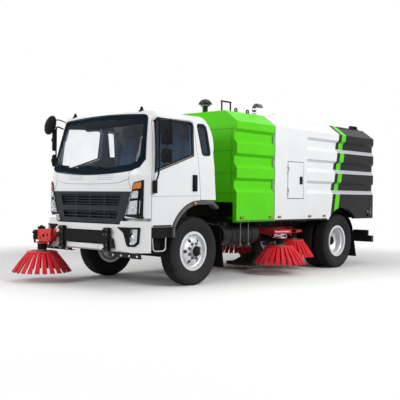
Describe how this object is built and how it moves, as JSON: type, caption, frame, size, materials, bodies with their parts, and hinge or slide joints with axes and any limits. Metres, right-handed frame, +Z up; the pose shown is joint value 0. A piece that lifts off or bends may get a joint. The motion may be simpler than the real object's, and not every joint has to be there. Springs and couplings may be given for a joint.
{
  "type": "street sweeper truck",
  "caption": "Two-axle forward-control lorry with a ribbed engine module, a tipping waste hopper and splayed gutter brushes.",
  "frame": {"origin": "on the ground under the middle of the overall length and width", "axes": "+Z up, front of the vehicle towards -Y, its left side towards +X"},
  "size_m": [2.72, 6.781, 2.809],
  "materials": {
    "white_paint": "gloss",
    "green_paint": "gloss",
    "black_paint": "satin",
    "red_paint": "gloss",
    "chassis_paint": "satin",
    "axle_iron": "matte",
    "rim_paint": "satin",
    "tyre": "matte",
    "dark_plastic": "matte",
    "grey_plastic": "matte",
    "lamp_lens": "gloss",
    "glass": "gloss",
    "steel_pipe": "satin",
    "bristle": "satin",
    "trim": "matte"
  },
  "bodies": {
    "chassis": {"frame_rails": "chassis_paint", "subframe": "chassis_paint", "front_axle": "axle_iron", "rear_axle": "axle_iron", "powertrain": "axle_iron", "side_tanks": "black_paint", "front_bumper": "white_paint", "lamps": "lamp_lens", "brush_carrier": "black_paint", "mudguards": "dark_plastic", "rear_guard": "black_paint", "module_shell": "green_paint", "exhaust_pipe": "steel_pipe", "roof_fittings": "black_paint", "suction_nozzle": "chassis_paint"},
    "cab": {"cab_shell": "white_paint", "cab_glass": "glass", "grille": "dark_plastic", "headlamps": "lamp_lens", "cab_interior": "trim", "fender_flares": "grey_plastic"},
    "hopper": {"hopper_shell": "white_paint"},
    "tailgate": {"tailgate": "black_paint"},
    "access_door": {"access_door": "white_paint"},
    "front_arm": {"front_brush_arm": "red_paint"},
    "brush_front": {"brush_front": "bristle"},
    "knuckle_left": {"knuckle_left": "axle_iron"},
    "wheel_front_left": {"tyre_front_left": "tyre", "rim_front_left": "rim_paint"},
    "wheels_rear_left": {"tyres_rear_left": "tyre", "rims_rear_left": "rim_paint"},
    "door_left": {"door_left": "white_paint", "door_glass_left": "glass", "mirrors_left": "dark_plastic"},
    "side_arm_left": {"side_brush_arm_left": "red_paint"},
    "brush_mid_left": {"brush_mid_left": "bristle"},
    "brush_inner_left": {"brush_inner_left": "bristle"},
    "knuckle_right": {"knuckle_right": "axle_iron"},
    "wheel_front_right": {"tyre_front_right": "tyre", "rim_front_right": "rim_paint"},
    "wheels_rear_right": {"tyres_rear_right": "tyre", "rims_rear_right": "rim_paint"},
    "door_right": {"door_right": "white_paint", "door_glass_right": "glass", "mirrors_right": "dark_plastic"},
    "side_arm_right": {"side_brush_arm_right": "red_paint"},
    "brush_mid_right": {"brush_mid_right": "bristle"},
    "brush_inner_right": {"brush_inner_right": "bristle"}
  },
  "joints": [
    {"name": "steer_left", "type": "hinge", "parent": "chassis", "child": "knuckle_left", "pos_m": [0.735, -1.7405, 0.487], "axis": [0, 0, 1], "range_deg": [-32, 32]},
    {"name": "wheel_front_left_spin", "type": "hinge", "parent": "knuckle_left", "child": "wheel_front_left", "pos_m": [0.882, -1.7405, 0.487], "axis": [1, 0, 0], "continuous": true},
    {"name": "wheels_rear_left_spin", "type": "hinge", "parent": "chassis", "child": "wheels_rear_left", "pos_m": [0.772, 2.1095, 0.487], "axis": [1, 0, 0], "continuous": true},
    {"name": "door_left_hinge", "type": "hinge", "parent": "cab", "child": "door_left", "pos_m": [1.045, -2.6475, 1.2], "axis": [0, 0, -1], "range_deg": [0, 70]},
    {"name": "side_arm_left_lower", "type": "hinge", "parent": "chassis", "child": "side_arm_left", "pos_m": [0.52, 0.7995, 0.72], "axis": [0, 1, 0], "range_deg": [0, 11]},
    {"name": "brush_mid_left_spin", "type": "hinge", "parent": "side_arm_left", "child": "brush_mid_left", "pos_m": [0.93, 0.4195, 0.48], "axis": [0, 0, 1], "continuous": true},
    {"name": "brush_inner_left_spin", "type": "hinge", "parent": "side_arm_left", "child": "brush_inner_left", "pos_m": [0.66, 1.1895, 0.54], "axis": [0, 0, 1], "continuous": true},
    {"name": "steer_right", "type": "hinge", "parent": "chassis", "child": "knuckle_right", "pos_m": [-0.735, -1.7405, 0.487], "axis": [0, 0, 1], "range_deg": [-32, 32]},
    {"name": "wheel_front_right_spin", "type": "hinge", "parent": "knuckle_right", "child": "wheel_front_right", "pos_m": [-0.882, -1.7405, 0.487], "axis": [1, 0, 0], "continuous": true},
    {"name": "wheels_rear_right_spin", "type": "hinge", "parent": "chassis", "child": "wheels_rear_right", "pos_m": [-0.772, 2.1095, 0.487], "axis": [1, 0, 0], "continuous": true},
    {"name": "door_right_hinge", "type": "hinge", "parent": "cab", "child": "door_right", "pos_m": [-1.045, -2.6475, 1.2], "axis": [0, 0, 1], "range_deg": [0, 70]},
    {"name": "side_arm_right_lower", "type": "hinge", "parent": "chassis", "child": "side_arm_right", "pos_m": [-0.52, 0.7995, 0.72], "axis": [0, -1, 0], "range_deg": [0, 11]},
    {"name": "brush_mid_right_spin", "type": "hinge", "parent": "side_arm_right", "child": "brush_mid_right", "pos_m": [-0.93, 0.4195, 0.48], "axis": [0, 0, 1], "continuous": true},
    {"name": "brush_inner_right_spin", "type": "hinge", "parent": "side_arm_right", "child": "brush_inner_right", "pos_m": [-0.66, 1.1895, 0.54], "axis": [0, 0, 1], "continuous": true},
    {"name": "cab_tilt", "type": "hinge", "parent": "chassis", "child": "cab", "pos_m": [0, -2.7805, 0.93], "axis": [1, 0, 0], "range_deg": [0, 40]},
    {"name": "hopper_tip", "type": "hinge", "parent": "chassis", "child": "hopper", "pos_m": [0, 3.0295, 0.945], "axis": [-1, 0, 0], "range_deg": [0, 45]},
    {"name": "tailgate_hinge", "type": "hinge", "parent": "hopper", "child": "tailgate", "pos_m": [0, 3.1015, 2.632], "axis": [1, 0, 0], "range_deg": [0, 75]},
    {"name": "access_door_hinge", "type": "hinge", "parent": "hopper", "child": "access_door", "pos_m": [1.118, 0.3975, 1.55], "axis": [0, 0, -1], "range_deg": [0, 100]},
    {"name": "front_arm_lower", "type": "hinge", "parent": "chassis", "child": "front_arm", "pos_m": [-0.575, -2.9345, 0.7], "axis": [0, -1, 0], "range_deg": [0, 9]},
    {"name": "brush_front_spin", "type": "hinge", "parent": "front_arm", "child": "brush_front", "pos_m": [-0.93, -2.9605, 0.445], "axis": [0, 0, 1], "continuous": true}
  ],
  "couplings": [
    {"joint": "steer_right", "follows": "steer_left", "ratio": 1}
  ]
}
